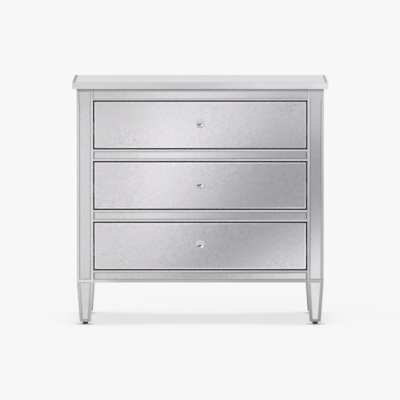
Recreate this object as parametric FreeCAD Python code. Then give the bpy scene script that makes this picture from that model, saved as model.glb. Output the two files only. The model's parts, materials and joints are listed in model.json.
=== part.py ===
import FreeCAD, Part
import math
import os
from FreeCAD import Vector

# A chest of drawers faced with aged mirror glass in a silvered wooden frame, on four tapered legs.
# Millimetres, +Z up, and the drawers open towards -Y.
# The origin is on the floor, in the middle of the chest's overall box with its knobs.

# Top
TOP_WIDTH = 914.0
TOP_DEPTH = 457.0
TOP_THICKNESS = 23.0
SIDE_OVERHANG = 16.0
FRONT_OVERHANG = 16.0
TOP_STRIP = 7.0

# Heights of the front, from the floor up
FLOOR_CLEARANCE = 152.0
BOTTOM_RAIL_HEIGHT = 43.6
OPENING_HEIGHT = 174.6
MIDDLE_RAIL_HEIGHT = 42.2
TOP_RAIL_HEIGHT = 41.8
DRAWER_NAMES = ("lower", "middle", "upper")
MIDDLE_RAIL_NAMES = ("lower_rail", "upper_rail")

# Posts: each is a square stile that tapers into a leg below the rails
POST_SIZE = 58.8
FOOT_SIZE = 39.0
POST_STRIP = 9.6
LEG_STRIP = 7.6
LEG_PANE_DROP = 0.3

# Glides under the legs
GLIDE_HEIGHT = 10.0
GLIDE_DIAMETER = 22.0
GLIDE_SOLE_DIAMETER = 16.0
GLIDE_NAIL_DIAMETER = 4.0
GLIDE_NAIL_LENGTH = 20.0

# Front and back rails, with their tenons
RAIL_THICKNESS = 24.0
BACK_RAIL_THICKNESS = 20.0
RAIL_STRIP = 8.0
SKIRT_STRIP = 11.4
CROWN_STRIP = 9.8
RAIL_END_STRIP = 1.8
TENON_LENGTH = 18.0
TENON_SHOULDER = 8.0

# Side and back panels
SIDE_THICKNESS = 18.0
TONGUE_LENGTH = 10.0
TONGUE_STOP = 15.0
BACK_THICKNESS = 6.0
BACK_RABBET = 10.0

# Mirror glass: bevelled plates in recesses, flush with the frame
PANE_THICKNESS = 4.0
PANE_JOINT = 0.8
DRAWER_PANE_JOINT = 0.3
BEVEL_WIDTH = 3.0
BEVEL_DEPTH = 0.25
TOP_BEVEL_WIDTH = 5.0
TOP_BEVEL_DEPTH = 1.1

# Drawers
DRAWER_GAP = 4.0
FRONT_THICKNESS = 20.0
FRONT_STRIP = 1.8
BOX_BACK_ROOM = 56.0
BOX_HEADROOM = 33.0
BOX_LIFT = 22.0
BOX_WALL = 12.0
BOTTOM_THICKNESS = 6.0
BOTTOM_RISE = 10.0
GROOVE_DEPTH = 6.0

# Dovetails at the corners of the drawer boxes
PIN_COUNT = 4
PIN_NARROW = 8.0
PIN_WIDE = 14.0

# Telescopic ball slides: a cabinet member, a middle member and a drawer member
SLIDE_HEIGHT = 45.0
SLIDE_THICKNESS = 12.7
SLIDE_WALL = 1.2
SLIDE_SETBACK = 2.0
SLIDE_TAIL = 13.0
SLIDE_RISE = 50.0
SLIDE_AIR = 1.1
BALL_TRACK = 3.1
BALL_CLEARANCE = 0.3
CAGE_LENGTH = 120.0
CAGE_WIDTH = 3.5
CAGE_INSET = 40.0
PACKER_HEIGHT = 60.0

# Knobs: a clear ball on a turned metal base
KNOB_DIAMETER = 30.0
KNOB_SEAT_DIAMETER = 12.0
KNOB_CUP_DIAMETER = 14.0
KNOB_WAIST_DIAMETER = 10.0
KNOB_BASE_DIAMETER = 18.0
KNOB_BASE_HEIGHT = 9.0
KNOB_BASE_EDGE = 2.0
KNOB_TAPPING_DEPTH = 6.5
KNOB_RISE = 5.0

# Screws
SCREW_DIAMETER = 4.0
SCREW_HEAD_DIAMETER = 8.0
SCREW_HEAD_HEIGHT = 3.0
SCREW_CLEARANCE = 0.2
TOP_BITE_SHARE = 0.7
FRONT_BITE_SHARE = 0.8
FRONT_SCREW_INSET = 60.0
FRONT_SCREW_SHARES = (0.28, 0.72)
CLEAT_SIZE = 25.0
CLEAT_SCREW_SHARES = (0.15, 0.5, 0.85)

# Shared fits and finishing
JOINT_CLEARANCE = 0.2
EDGE_EASE = 1.0
OVERRUN = 5.0

# Worked out from the sizes above
SIDES = (("left", -1), ("right", 1))
UP = Vector(0, 0, 1)
BODY_WIDTH = TOP_WIDTH - 2 * SIDE_OVERHANG
BODY_DEPTH = TOP_DEPTH - FRONT_OVERHANG
OPENING_WIDTH = BODY_WIDTH - 2 * POST_SIZE
KNOB_SEAT_DEPTH = math.sqrt(KNOB_DIAMETER ** 2 - KNOB_SEAT_DIAMETER ** 2) / 2
KNOB_PROJECTION = KNOB_BASE_HEIGHT + KNOB_SEAT_DEPTH + KNOB_DIAMETER / 2
OVERALL_DEPTH = max(TOP_DEPTH, BODY_DEPTH + KNOB_PROJECTION)
Y_BACK = OVERALL_DEPTH / 2
Y_FACE = Y_BACK - BODY_DEPTH
X_FACE = BODY_WIDTH / 2
X_OPENING = OPENING_WIDTH / 2
X_LINING = X_FACE - SIDE_THICKNESS
Y_FRONT_POST = Y_FACE + POST_SIZE
Y_REAR_POST = Y_BACK - POST_SIZE
DRAWER_PITCH = OPENING_HEIGHT + MIDDLE_RAIL_HEIGHT
Z_FIRST_OPENING = FLOOR_CLEARANCE + BOTTOM_RAIL_HEIGHT
Z_BODY_TOP = Z_FIRST_OPENING + len(DRAWER_NAMES) * DRAWER_PITCH - MIDDLE_RAIL_HEIGHT + TOP_RAIL_HEIGHT
Z_TOP = Z_BODY_TOP + TOP_THICKNESS
X_BOX = X_OPENING - SLIDE_THICKNESS
Y_BOX = Y_FACE + FRONT_THICKNESS
Y_BOX_BACK = Y_BACK - BOX_BACK_ROOM
BOX_HEIGHT = OPENING_HEIGHT - BOX_LIFT - BOX_HEADROOM
Y_SLIDE = Y_BOX + SLIDE_SETBACK
SLIDE_LENGTH = Y_BOX_BACK - SLIDE_TAIL - Y_SLIDE
TOP_SCREW_LENGTH = CLEAT_SIZE + (TOP_THICKNESS - PANE_THICKNESS) * TOP_BITE_SHARE
FRONT_SCREW_LENGTH = BOX_WALL + (FRONT_THICKNESS - PANE_THICKNESS) * FRONT_BITE_SHARE

# The slide's three members, each inside the last by a row of balls: half heights and places across
CABINET_HALF = SLIDE_HEIGHT / 2
MIDDLE_HALF = CABINET_HALF - SLIDE_WALL - BALL_TRACK
RUNNER_HALF = MIDDLE_HALF - SLIDE_WALL - BALL_TRACK
MIDDLE_WEB = SLIDE_WALL + SLIDE_AIR
RUNNER_LIP = MIDDLE_WEB + SLIDE_WALL + SLIDE_AIR
MIDDLE_LIP = SLIDE_THICKNESS - SLIDE_WALL - SLIDE_AIR


def span(one, other):
    """Two places as a (low, high) pair."""
    return min(one, other), max(one, other)


def block(x, y, z):
    """A box between three (low, high) pairs."""
    return Part.makeBox(x[1] - x[0], y[1] - y[0], z[1] - z[0], Vector(x[0], y[0], z[0]))


def grown(pair, distance):
    """A (low, high) pair moved out at both ends."""
    return pair[0] - distance, pair[1] + distance


def middle_half(pair):
    """The middle half of a (low, high) pair, where a tongue or tenon goes."""
    quarter = (pair[1] - pair[0]) / 4
    return pair[0] + quarter, pair[1] - quarter


def wire(ring):
    """A closed outline through a ring of points."""
    return Part.makePolygon(ring + ring[:1])


def prism(ring, path):
    """A flat outline pushed along a vector."""
    return Part.Face(wire(ring)).extrude(path)


def fused(first, *others):
    """Several solids as one, with the seams between flat faces removed."""
    return first.fuse(list(others)).removeSplitter()


def write(node, *solids):
    """One node's solids in one file."""
    shape = solids[0] if len(solids) == 1 else Part.makeCompound(list(solids))
    shape.exportStep(os.path.join("parts", node + ".step"))
    print(node, len(shape.Solids), round(shape.Volume), shape.isValid())


def opening_floor(number):
    """Underside of a drawer opening, counted from the lowest."""
    return Z_FIRST_OPENING + number * DRAWER_PITCH


def outline_normal(ring):
    """The way an outline faces: it runs anticlockwise as seen from outside."""
    return (ring[1] - ring[0]).cross(ring[2] - ring[1]).normalize()


def inset(ring, distance):
    """A flat outline moved inwards, or outwards by a negative distance."""
    normal = outline_normal(ring)
    moved = []
    for before, here, after in zip(ring[-1:] + ring[:-1], ring, ring[1:] + ring[:1]):
        from_edge = normal.cross(here - before).normalize()
        to_edge = normal.cross(after - here).normalize()
        mitre = (from_edge + to_edge).normalize()
        moved.append(here + mitre * (distance / mitre.dot(from_edge)))
    return moved


def pane(ring, bevel_width=BEVEL_WIDTH, bevel_depth=BEVEL_DEPTH):
    """A mirror plate behind an outline on the surface, with bevelled edges."""
    inwards = outline_normal(ring) * -1
    back = [point + inwards * PANE_THICKNESS for point in ring]
    edge = [point + inwards * bevel_depth for point in ring]
    return Part.makeLoft([wire(back), wire(edge), wire(inset(ring, bevel_width))], True, True)


def recess(ring, joint=PANE_JOINT):
    """The recess a mirror plate is bedded in, with the open joint round it."""
    outwards = outline_normal(ring)
    mouth = [point + outwards * OVERRUN for point in inset(ring, -joint)]
    return prism(mouth, outwards * -(PANE_THICKNESS + OVERRUN))


def front_ring(x, z):
    """A rectangle on the front face."""
    return [Vector(x[0], Y_FACE, z[0]), Vector(x[1], Y_FACE, z[0]),
            Vector(x[1], Y_FACE, z[1]), Vector(x[0], Y_FACE, z[1])]


def side_ring(side, y, z):
    """A rectangle on the left or right face."""
    ring = [Vector(side * X_FACE, y[0], z[0]), Vector(side * X_FACE, y[1], z[0]),
            Vector(side * X_FACE, y[1], z[1]), Vector(side * X_FACE, y[0], z[1])]
    return ring if side > 0 else ring[::-1]


# Posts and their glides


def post_half(z):
    """Half the post's width at a height: it narrows below the rails."""
    share = (z - GLIDE_HEIGHT) / (FLOOR_CLEARANCE - GLIDE_HEIGHT)
    return (FOOT_SIZE + (POST_SIZE - FOOT_SIZE) * min(1, share)) / 2


def post_centre(side, front):
    """Where a post's axis stands."""
    y = Y_FACE + POST_SIZE / 2 if front else Y_BACK - POST_SIZE / 2
    return Vector(side * (X_FACE - POST_SIZE / 2), y, 0)


def post_section(centre, z):
    """The post's square at a height, with its corners eased."""
    long = post_half(z)
    short = long - EDGE_EASE
    corners = [(short, -long), (long, -short), (long, short), (short, long),
               (-short, long), (-long, short), (-long, -short), (-short, -long)]
    return wire([centre + Vector(x, y, z) for x, y in corners])


def post_face_ring(centre, outwards, low, high, strip):
    """A mirror's outline on one face of a post, a strip's width in from its long edges."""
    across = UP.cross(outwards)
    ring = []
    for z, hand in ((low, -1), (low, 1), (high, 1), (high, -1)):
        half = post_half(z)
        ring.append(centre + outwards * half + across * (hand * (half - strip)) + UP * z)
    return ring


def post_rings(side, front):
    """Outlines of a post's stile mirrors and leg mirrors, on its outer faces."""
    centre = post_centre(side, front)
    faces = [Vector(side, 0, 0)] + ([Vector(0, -1, 0)] if front else [])
    stile = FLOOR_CLEARANCE + SKIRT_STRIP, Z_BODY_TOP - CROWN_STRIP
    leg = GLIDE_HEIGHT + LEG_STRIP, FLOOR_CLEARANCE - LEG_PANE_DROP
    stiles = [post_face_ring(centre, face, *stile, POST_STRIP) for face in faces]
    legs = [post_face_ring(centre, face, *leg, POST_STRIP) for face in faces]
    return stiles, legs


def glide(side, front):
    """A domed glide with the nail that holds it in the leg's end."""
    sole = GLIDE_SOLE_DIAMETER / 2
    rim = GLIDE_DIAMETER / 2
    belly = Vector(rim - (rim - sole) * math.sin(math.pi / 4) / 2, 0, GLIDE_HEIGHT / 2)
    nail = GLIDE_NAIL_DIAMETER / 2
    nail_top = GLIDE_HEIGHT + GLIDE_NAIL_LENGTH
    corners = [Vector(rim, 0, GLIDE_HEIGHT), Vector(nail, 0, GLIDE_HEIGHT), Vector(nail, 0, nail_top),
               Vector(0, 0, nail_top), Vector(0, 0, 0), Vector(sole, 0, 0)]
    side_arc = Part.Arc(corners[-1], belly, corners[0]).toShape()
    outline = Part.Wire(Part.makePolygon(corners).Edges + [side_arc])
    solid = Part.Face(outline).revolve(Vector(0, 0, 0), UP)
    solid.translate(post_centre(side, front))
    return solid


def post(side, front):
    """A stile and leg in one piece, recessed for mirrors and morticed for rails and panels."""
    centre = post_centre(side, front)
    levels = (GLIDE_HEIGHT, FLOOR_CLEARANCE, Z_BODY_TOP)
    body = Part.makeLoft([post_section(centre, z) for z in levels], True, True)
    stiles, legs = post_rings(side, front)
    cuts = [recess(ring) for ring in stiles + legs]
    rails = front_rails() if front else back_rails()
    cuts += [tenon(side, rail, JOINT_CLEARANCE) for rail in rails]
    cuts.append(panel_tongue(side, JOINT_CLEARANCE))
    if not front:
        cuts.append(back_board(JOINT_CLEARANCE))
    nail_hole = GLIDE_NAIL_DIAMETER / 2 + JOINT_CLEARANCE
    foot = centre + UP * (GLIDE_HEIGHT - OVERRUN)
    cuts.append(Part.makeCylinder(nail_hole, OVERRUN + GLIDE_NAIL_LENGTH + JOINT_CLEARANCE, foot, UP))
    return body.cut(cuts)


# Rails


def front_rails():
    """Each front rail: its name, depth and height spans, and the strips below and above its mirror."""
    y = Y_FACE, Y_FACE + RAIL_THICKNESS
    rails = [("bottom_rail", y, (FLOOR_CLEARANCE, opening_floor(0)), (SKIRT_STRIP, RAIL_STRIP))]
    for number, name in enumerate(MIDDLE_RAIL_NAMES):
        low = opening_floor(number) + OPENING_HEIGHT
        rails.append((name, y, (low, low + MIDDLE_RAIL_HEIGHT), (RAIL_STRIP, RAIL_STRIP)))
    rails.append(("top_rail", y, (Z_BODY_TOP - TOP_RAIL_HEIGHT, Z_BODY_TOP), (RAIL_STRIP, CROWN_STRIP)))
    return rails


def back_rails():
    """The rails behind the lowest and highest front rails, in the same form and with no mirror."""
    inner = Y_BACK - BACK_THICKNESS
    y = inner - BACK_RAIL_THICKNESS, inner
    return [(name, y, z, None) for name, _, z, _ in front_rails() if name not in MIDDLE_RAIL_NAMES]


def tenon(side, rail, clearance=0):
    """A rail's tenon, half as thick as the wood behind any mirror, or its mortice with a clearance."""
    _, (face, back), (low, high), strips = rail
    wood = face + (PANE_THICKNESS if strips else 0), back
    z = low + TENON_SHOULDER, high - TENON_SHOULDER
    x = span(side * X_OPENING, side * (X_OPENING + TENON_LENGTH + clearance))
    return block(x, grown(middle_half(wood), clearance), grown(z, clearance))


def rail_ring(rail):
    """The outline of a front rail's mirror."""
    _, _, (low, high), (strip_below, strip_above) = rail
    half = X_OPENING - RAIL_END_STRIP
    return front_ring((-half, half), (low + strip_below, high - strip_above))


def front_rail(rail):
    """A front rail with eased front edges, a tenon at each end and a recess for its mirror."""
    _, (face, back), (low, high), _ = rail
    profile = [(face + EDGE_EASE, low), (back, low), (back, high), (face + EDGE_EASE, high),
               (face, high - EDGE_EASE), (face, low + EDGE_EASE)]
    bar = prism([Vector(-X_OPENING, y, z) for y, z in profile], Vector(OPENING_WIDTH, 0, 0))
    tenons = [tenon(side, rail) for _, side in SIDES]
    return fused(bar, *tenons).cut(recess(rail_ring(rail)))


def back_rail(rail):
    """A plain back rail with its tenons."""
    _, y, z, _ = rail
    bar = block((-X_OPENING, X_OPENING), y, z)
    return fused(bar, *[tenon(side, rail) for _, side in SIDES])


# Side and back panels


def panel_tongue(side, clearance=0):
    """The side panel's tongue, which runs through into both posts, or its groove."""
    x = grown(middle_half(span(side * X_LINING, side * (X_FACE - PANE_THICKNESS))), clearance)
    y = grown((Y_FRONT_POST - TONGUE_LENGTH, Y_REAR_POST + TONGUE_LENGTH), clearance)
    z = FLOOR_CLEARANCE + TONGUE_STOP - clearance, Z_BODY_TOP
    return block(x, y, z)


def side_rings(side):
    """Outlines of a side's mirrors: a rail strip, the large plate and another rail strip."""
    y = Y_FRONT_POST + RAIL_END_STRIP, Y_REAR_POST - RAIL_END_STRIP
    rails = front_rails()
    bottom, top = rails[0][2], rails[-1][2]
    spans = [(bottom[0] + SKIRT_STRIP, bottom[1] - RAIL_STRIP),
             (bottom[1] + RAIL_STRIP, top[0] - RAIL_STRIP),
             (top[0] + RAIL_STRIP, top[1] - CROWN_STRIP)]
    return [side_ring(side, y, z) for z in spans]


def side_panel(side):
    """The board between a front and a rear post, flush outside and recessed for its mirrors."""
    x = span(side * X_LINING, side * X_FACE)
    board = block(x, (Y_FRONT_POST, Y_REAR_POST), (FLOOR_CLEARANCE, Z_BODY_TOP))
    return fused(board, panel_tongue(side)).cut([recess(ring) for ring in side_rings(side)])


def back_board(clearance=0):
    """The thin back panel, or the rabbet that the rear posts have for it."""
    half = X_OPENING + BACK_RABBET + clearance
    depth = OVERRUN if clearance else 0
    return block((-half, half), (Y_BACK - BACK_THICKNESS, Y_BACK + depth),
                 (FLOOR_CLEARANCE - clearance, Z_BODY_TOP))


# Top


def cleat(side):
    """A strip inside the top of a side panel, which the top is screwed to."""
    x = span(side * (X_LINING - CLEAT_SIZE), side * X_LINING)
    return block(x, (Y_FRONT_POST, Y_REAR_POST), (Z_BODY_TOP - CLEAT_SIZE, Z_BODY_TOP))


def cleat_screw_places(side):
    """Where the cleat's screws go in, under its lower face."""
    x = side * (X_LINING - CLEAT_SIZE / 2)
    z = Z_BODY_TOP - CLEAT_SIZE
    length = Y_REAR_POST - Y_FRONT_POST
    return [Vector(x, Y_FRONT_POST + share * length, z) for share in CLEAT_SCREW_SHARES]


def screw(place, along, length, clearance=0):
    """A pan-head screw driven along a direction, or the hole for it when a clearance is given."""
    shank = Part.makeCylinder(SCREW_DIAMETER / 2 + clearance, length + clearance, place, along)
    if clearance:
        return shank
    head = Part.makeCylinder(SCREW_HEAD_DIAMETER / 2, SCREW_HEAD_HEIGHT, place, along * -1)
    return fused(shank, head)


def top_ring():
    """The outline of the mirror on the top."""
    half = TOP_WIDTH / 2 - TOP_STRIP
    front = Y_BACK - TOP_DEPTH + TOP_STRIP
    back = Y_BACK - TOP_STRIP
    return [Vector(-half, front, Z_TOP), Vector(half, front, Z_TOP),
            Vector(half, back, Z_TOP), Vector(-half, back, Z_TOP)]


def top_board():
    """The top: a board with eased edges, a recess for its mirror and pilot holes from below."""
    half = TOP_WIDTH / 2
    board = block((-half, half), (Y_BACK - TOP_DEPTH, Y_BACK), (Z_BODY_TOP, Z_TOP))
    board = board.makeChamfer(EDGE_EASE, board.Edges)
    cuts = [recess(top_ring())]
    for _, side in SIDES:
        for place in cleat_screw_places(side):
            cuts.append(screw(place, UP, TOP_SCREW_LENGTH, SCREW_CLEARANCE))
    return board.cut(cuts)


def write_top():
    """The top with its mirror, cleats and screws."""
    cleats = []
    screws = []
    for _, side in SIDES:
        places = cleat_screw_places(side)
        holes = [screw(place, UP, TOP_SCREW_LENGTH, SCREW_CLEARANCE) for place in places]
        cleats.append(cleat(side).cut(holes))
        screws += [screw(place, UP, TOP_SCREW_LENGTH) for place in places]
    write("top_board", top_board())
    write("top_mirror", pane(top_ring(), TOP_BEVEL_WIDTH, TOP_BEVEL_DEPTH))
    write("top_cleats", *cleats)
    write("top_screws", *screws)


def write_frame():
    """Posts, rails, panels, and the mirrors bedded in them."""
    stile_panes = []
    leg_panes = []
    glides = []
    for row, front in (("front", True), ("rear", False)):
        for name, side in SIDES:
            stiles, legs = post_rings(side, front)
            stile_panes += [pane(ring) for ring in stiles]
            leg_panes += [pane(ring) for ring in legs]
            glides.append(glide(side, front))
            write(row + "_leg_" + name, post(side, front))
    write("stile_mirrors", *stile_panes)
    write("leg_mirrors", *leg_panes)
    write("foot_glides", *glides)
    for rail in front_rails():
        write(rail[0], front_rail(rail))
    write("rail_mirrors", *[pane(rail_ring(rail)) for rail in front_rails()])
    write("back_rails", *[back_rail(rail) for rail in back_rails()])
    write("back_panel", back_board())
    for name, side in SIDES:
        write("side_panel_" + name, side_panel(side))
        write("side_mirrors_" + name, *[pane(ring) for ring in side_rings(side)])


# Drawer slides


def slide_level(number):
    """The middle height of a drawer's slides."""
    return opening_floor(number) + BOX_LIFT + SLIDE_RISE


def slide_x(side, out):
    """A place across a slide, as its distance out from the cabinet's face."""
    return side * (X_OPENING - out)


def channel(side, level, back, lip, half_height):
    """A slide member: a channel with its web at one place across the slide and its lips at another."""
    wall = math.copysign(SLIDE_WALL, lip - back)
    inner = half_height - SLIDE_WALL
    profile = [(back, -half_height), (lip, -half_height), (lip, -inner), (back + wall, -inner),
               (back + wall, inner), (lip, inner), (lip, half_height), (back, half_height)]
    ring = [Vector(slide_x(side, out), Y_SLIDE, level + z) for out, z in profile]
    return prism(ring, Vector(0, SLIDE_LENGTH, 0))


def ball_cages(side, level):
    """The four ball cages of one slide: outer ones at the back, inner ones at the front."""
    centre = (RUNNER_LIP + MIDDLE_LIP) / 2
    x = span(slide_x(side, centre - CAGE_WIDTH / 2), slide_x(side, centre + CAGE_WIDTH / 2))
    depth = BALL_TRACK - BALL_CLEARANCE
    back_end = Y_SLIDE + SLIDE_LENGTH - CAGE_INSET
    front_end = Y_SLIDE + CAGE_INSET
    inner = MIDDLE_HALF - SLIDE_WALL
    cages = []
    for hand in (-1, 1):
        outer_z = span(level + hand * MIDDLE_HALF, level + hand * (MIDDLE_HALF + depth))
        inner_z = span(level + hand * inner, level + hand * (inner - depth))
        cages.append(block(x, (back_end - CAGE_LENGTH, back_end), outer_z))
        cages.append(block(x, (front_end, front_end + CAGE_LENGTH), inner_z))
    return cages


def slide_packer(side, level):
    """A block on the side panel that brings the slide out to the line of the posts."""
    x = span(side * X_OPENING, side * X_LINING)
    return block(x, (Y_FRONT_POST, Y_REAR_POST), (level - PACKER_HEIGHT / 2, level + PACKER_HEIGHT / 2))


def write_slides():
    """The slides' fixed members for all drawers, their packers, and each drawer's moving members."""
    packers = []
    cabinet_members = []
    for number, name in enumerate(DRAWER_NAMES):
        level = slide_level(number)
        middles = []
        runners = []
        for _, side in SIDES:
            packers.append(slide_packer(side, level))
            cabinet_members.append(channel(side, level, 0, MIDDLE_LIP, CABINET_HALF))
            middles.append(channel(side, level, MIDDLE_WEB, MIDDLE_LIP, MIDDLE_HALF))
            middles += ball_cages(side, level)
            runners.append(channel(side, level, SLIDE_THICKNESS, RUNNER_LIP, RUNNER_HALF))
        write(name + "_slide_middles", *middles)
        write(name + "_drawer_runners", *runners)
    write("slide_packers", *packers)
    write("slide_cabinet_members", *cabinet_members)


# Drawers


def knob_foot(number):
    """Where a drawer's knob stands on the front, a little above the middle."""
    return Vector(0, Y_FACE, opening_floor(number) + OPENING_HEIGHT / 2 + KNOB_RISE)


def drawer_pane_ring(number):
    """The outline of a drawer front's mirror."""
    floor = opening_floor(number)
    margin = DRAWER_GAP + FRONT_STRIP
    half = X_OPENING - margin
    return front_ring((-half, half), (floor + margin, floor + OPENING_HEIGHT - margin))


def box_levels(number):
    """The height span of a drawer's box."""
    low = opening_floor(number) + BOX_LIFT
    return low, low + BOX_HEIGHT


def knob_bolt(number, clearance=0):
    """The bolt from inside the box, through box and front, into the knob."""
    inside = knob_foot(number) + Vector(0, FRONT_THICKNESS + BOX_WALL, 0)
    length = FRONT_THICKNESS + BOX_WALL + KNOB_TAPPING_DEPTH
    return screw(inside, Vector(0, -1, 0), length, clearance)


def front_screws(number, clearance=0):
    """Four screws that hold the mirrored front to the box."""
    low = box_levels(number)[0]
    half = X_BOX - FRONT_SCREW_INSET
    places = [Vector(x, Y_BOX + BOX_WALL, low + share * BOX_HEIGHT)
              for x in (-half, half) for share in FRONT_SCREW_SHARES]
    return [screw(place, Vector(0, -1, 0), FRONT_SCREW_LENGTH, clearance) for place in places]


def drawer_front(number):
    """The board behind a drawer's mirror, with eased edges and its recess."""
    floor = opening_floor(number)
    half = X_OPENING - DRAWER_GAP
    z = floor + DRAWER_GAP, floor + OPENING_HEIGHT - DRAWER_GAP
    board = block((-half, half), (Y_FACE, Y_BOX), z)
    board = board.makeChamfer(EDGE_EASE, [edge for edge in board.Edges if edge.BoundBox.YMax < Y_BOX])
    holes = [knob_bolt(number, SCREW_CLEARANCE)] + front_screws(number, SCREW_CLEARANCE)
    return board.cut([recess(drawer_pane_ring(number), DRAWER_PANE_JOINT)] + holes)


def drawer_pane(number):
    """A drawer's mirror, drilled for the knob's bolt."""
    return pane(drawer_pane_ring(number)).cut(knob_bolt(number, SCREW_CLEARANCE))


def pins(number, side, outer, inner, clearance=0):
    """The dovetail pins of one box corner, from the box end's outer face to its inner face."""
    low, high = box_levels(number)
    x_inner = side * (X_BOX - BOX_WALL)
    solids = []
    for count in range(PIN_COUNT):
        z = low + (high - low) * (count + 1 / 2) / PIN_COUNT
        narrow = PIN_NARROW / 2 + clearance
        wide = PIN_WIDE / 2 + clearance
        ring = [Vector(x_inner, outer, z - narrow), Vector(x_inner, inner, z - wide),
                Vector(x_inner, inner, z + wide), Vector(x_inner, outer, z + narrow)]
        solids.append(prism(ring, Vector(side * BOX_WALL, 0, 0)))
    return solids


def box_ends():
    """The outer and inner faces of a box's front and back boards."""
    return {"front": (Y_BOX, Y_BOX + BOX_WALL), "back": (Y_BOX_BACK, Y_BOX_BACK - BOX_WALL)}


def box_bottom(number, clearance=0):
    """The drawer bottom, or the groove that the four box boards have for it."""
    low = box_levels(number)[0] + BOTTOM_RISE
    inside = X_BOX - BOX_WALL
    reach = GROOVE_DEPTH - JOINT_CLEARANCE + clearance
    return block(grown((-inside, inside), reach),
                 grown((Y_BOX + BOX_WALL, Y_BOX_BACK - BOX_WALL), reach),
                 grown((low, low + BOTTOM_THICKNESS), clearance))


def box_end(number, end):
    """The box's front or back board, with its pins and groove."""
    outer, inner = box_ends()[end]
    inside = X_BOX - BOX_WALL
    board = block((-inside, inside), span(outer, inner), box_levels(number))
    for _, side in SIDES:
        board = fused(board, *pins(number, side, outer, inner))
    cuts = [box_bottom(number, JOINT_CLEARANCE)]
    if end == "front":
        cuts += [knob_bolt(number, SCREW_CLEARANCE)] + front_screws(number, SCREW_CLEARANCE)
    return board.cut(cuts)


def box_side(number, side):
    """A box side, cut into tails at both ends and grooved for the bottom."""
    x = span(side * (X_BOX - BOX_WALL), side * X_BOX)
    board = block(x, (Y_BOX, Y_BOX_BACK), box_levels(number))
    cuts = [box_bottom(number, JOINT_CLEARANCE)]
    for outer, inner in box_ends().values():
        cuts += pins(number, side, outer, inner, JOINT_CLEARANCE)
    return board.cut(cuts)


def turned(number, edges):
    """An outline turned about a drawer's knob axis, drawn with its radius along X and its height along Y."""
    solid = Part.Face(Part.Wire(edges)).revolve(Vector(0, 0, 0), Vector(0, 1, 0))
    solid.rotate(Vector(0, 0, 0), UP, 180)
    solid.translate(knob_foot(number))
    return solid


def knob(number):
    """The clear ball of a knob, with a flat where it is bonded to its base."""
    radius = KNOB_DIAMETER / 2
    centre = KNOB_PROJECTION - radius
    tip = Vector(0, KNOB_PROJECTION, 0)
    seat = Vector(KNOB_SEAT_DIAMETER / 2, KNOB_BASE_HEIGHT, 0)
    ball = Part.Arc(tip, Vector(radius, centre, 0), seat).toShape()
    return turned(number, [ball] + Part.makePolygon([seat, Vector(0, KNOB_BASE_HEIGHT, 0), tip]).Edges)


def knob_base(number):
    """The base of a knob: a foot and a cup with a hollow waist between, tapped for the bolt."""
    foot = KNOB_BASE_DIAMETER / 2
    foot_edge = Vector(foot, KNOB_BASE_EDGE, 0)
    waist = Vector(KNOB_WAIST_DIAMETER / 2, (KNOB_BASE_EDGE + KNOB_BASE_HEIGHT) / 2, 0)
    cup = Vector(KNOB_CUP_DIAMETER / 2, KNOB_BASE_HEIGHT, 0)
    hollow = Part.Arc(foot_edge, waist, cup).toShape()
    ends = [cup, Vector(0, KNOB_BASE_HEIGHT, 0), Vector(0, 0, 0), Vector(foot, 0, 0), foot_edge]
    return turned(number, [hollow] + Part.makePolygon(ends).Edges).cut(knob_bolt(number, SCREW_CLEARANCE))


def write_drawers():
    """Each drawer: a mirrored front with its knob on a dovetailed box."""
    for number, name in enumerate(DRAWER_NAMES):
        write(name + "_drawer_front", drawer_front(number))
        write(name + "_drawer_mirror", drawer_pane(number))
        write(name + "_drawer_knob", knob(number))
        write(name + "_drawer_knob_base", knob_base(number))
        write(name + "_drawer_screws", knob_bolt(number), *front_screws(number))
        write(name + "_drawer_bottom", box_bottom(number))
        for end in box_ends():
            write(name + "_drawer_box_" + end, box_end(number, end))
        for hand, side in SIDES:
            write(name + "_drawer_side_" + hand, box_side(number, side))


os.makedirs("parts", exist_ok=True)
write_frame()
write_top()
write_slides()
write_drawers()
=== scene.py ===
# %% [markdown]
# # A mirrored chest of three drawers
#
# The chest is a silvered wooden frame with plates of aged mirror let into it. Every piece already
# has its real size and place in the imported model, so Blender's work is the looks: the finish of
# each surface, the small turned and pressed pieces that need a finer mesh, and a studio to see
# them in. We could model the chest again from boxes, but then every gap would have to be fitted
# twice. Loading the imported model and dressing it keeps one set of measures.

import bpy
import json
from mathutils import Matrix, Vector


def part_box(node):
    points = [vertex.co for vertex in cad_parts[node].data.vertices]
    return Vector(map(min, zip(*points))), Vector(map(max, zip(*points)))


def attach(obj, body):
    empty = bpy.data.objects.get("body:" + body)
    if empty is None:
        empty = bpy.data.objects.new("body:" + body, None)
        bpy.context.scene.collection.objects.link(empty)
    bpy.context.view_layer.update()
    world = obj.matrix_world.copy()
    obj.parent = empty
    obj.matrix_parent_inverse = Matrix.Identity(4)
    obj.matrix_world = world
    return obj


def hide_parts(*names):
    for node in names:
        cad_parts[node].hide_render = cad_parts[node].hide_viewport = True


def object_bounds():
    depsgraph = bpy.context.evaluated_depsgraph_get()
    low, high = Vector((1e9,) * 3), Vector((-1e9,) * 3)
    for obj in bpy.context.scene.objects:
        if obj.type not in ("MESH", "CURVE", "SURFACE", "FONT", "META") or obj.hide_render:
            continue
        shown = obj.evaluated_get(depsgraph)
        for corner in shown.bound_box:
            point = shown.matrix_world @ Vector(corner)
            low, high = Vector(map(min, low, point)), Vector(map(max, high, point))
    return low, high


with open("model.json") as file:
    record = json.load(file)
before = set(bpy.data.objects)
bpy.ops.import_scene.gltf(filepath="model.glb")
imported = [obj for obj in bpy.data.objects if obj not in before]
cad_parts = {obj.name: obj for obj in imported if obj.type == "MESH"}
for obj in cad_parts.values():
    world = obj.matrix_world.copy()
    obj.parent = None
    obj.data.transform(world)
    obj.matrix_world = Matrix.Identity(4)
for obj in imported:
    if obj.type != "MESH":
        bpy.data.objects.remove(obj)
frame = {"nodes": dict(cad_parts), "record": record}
cad_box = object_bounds()
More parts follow.
